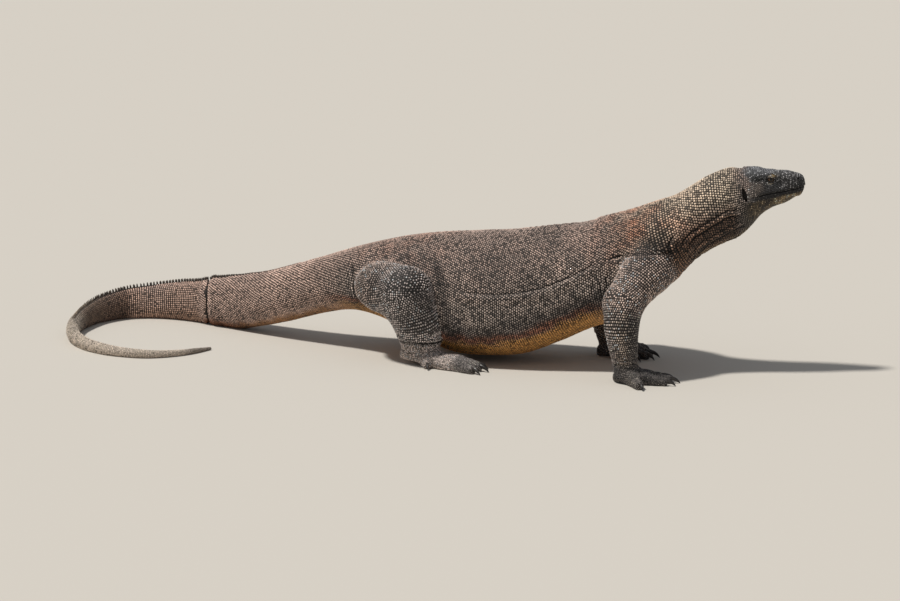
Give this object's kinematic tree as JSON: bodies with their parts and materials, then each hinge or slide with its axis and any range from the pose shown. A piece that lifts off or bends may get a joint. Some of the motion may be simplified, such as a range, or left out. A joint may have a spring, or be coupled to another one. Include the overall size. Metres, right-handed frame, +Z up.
{
  "type": "komodo dragon model",
  "caption": "Life-size still model of a Komodo dragon standing with its head raised and its tail curled forward on the ground.",
  "frame": {"origin": "the point on the floor under the middle of the animal's length and breadth", "axes": "+X towards the snout, +Y to the animal's left, +Z up from the floor it stands on"},
  "size_m": [1.5579, 0.466, 0.4103],
  "materials": {
    "head_skin": "matt dark slate head shields with pale flecks, a brown lower jaw and an ochre brow",
    "body_skin": "dry beaded grey-brown scales, cream and rust on the neck, orange-brown on the lower flank and belly",
    "tail_skin": "dry ringed scales, brown at the base, grey-beige past the bend",
    "leg_skin": "dry dark grey beaded scales with pale tops",
    "claw": "smooth blackish horn",
    "eye": "wet, dark brown eye"
  },
  "bodies": {
    "root": {"head": "head_skin", "lower_jaw": "head_skin", "eye_right": "eye", "eye_left": "eye", "neck": "body_skin", "trunk": "body_skin", "tail_base": "tail_skin", "tail_middle": "tail_skin", "tail_bend": "tail_skin", "tail_end": "tail_skin", "right_upper_arm": "leg_skin", "right_forearm": "leg_skin", "left_upper_arm": "leg_skin", "left_forearm": "leg_skin", "right_thigh": "leg_skin", "right_shank": "leg_skin", "left_thigh": "leg_skin", "left_shank": "leg_skin", "right_forefoot": "leg_skin", "left_forefoot": "leg_skin", "right_hindfoot": "leg_skin", "left_hindfoot": "leg_skin", "right_forefoot_claw_1": "claw", "right_forefoot_claw_2": "claw", "right_forefoot_claw_3": "claw", "right_forefoot_claw_4": "claw", "right_forefoot_claw_5": "claw", "left_forefoot_claw_1": "claw", "left_forefoot_claw_2": "claw", "left_forefoot_claw_3": "claw", "left_forefoot_claw_4": "claw", "left_forefoot_claw_5": "claw", "right_hindfoot_claw_1": "claw", "right_hindfoot_claw_2": "claw", "right_hindfoot_claw_3": "claw", "right_hindfoot_claw_4": "claw", "right_hindfoot_claw_5": "claw", "left_hindfoot_claw_1": "claw", "left_hindfoot_claw_2": "claw", "left_hindfoot_claw_3": "claw", "left_hindfoot_claw_4": "claw", "left_hindfoot_claw_5": "claw"}
  },
  "joints": []
}
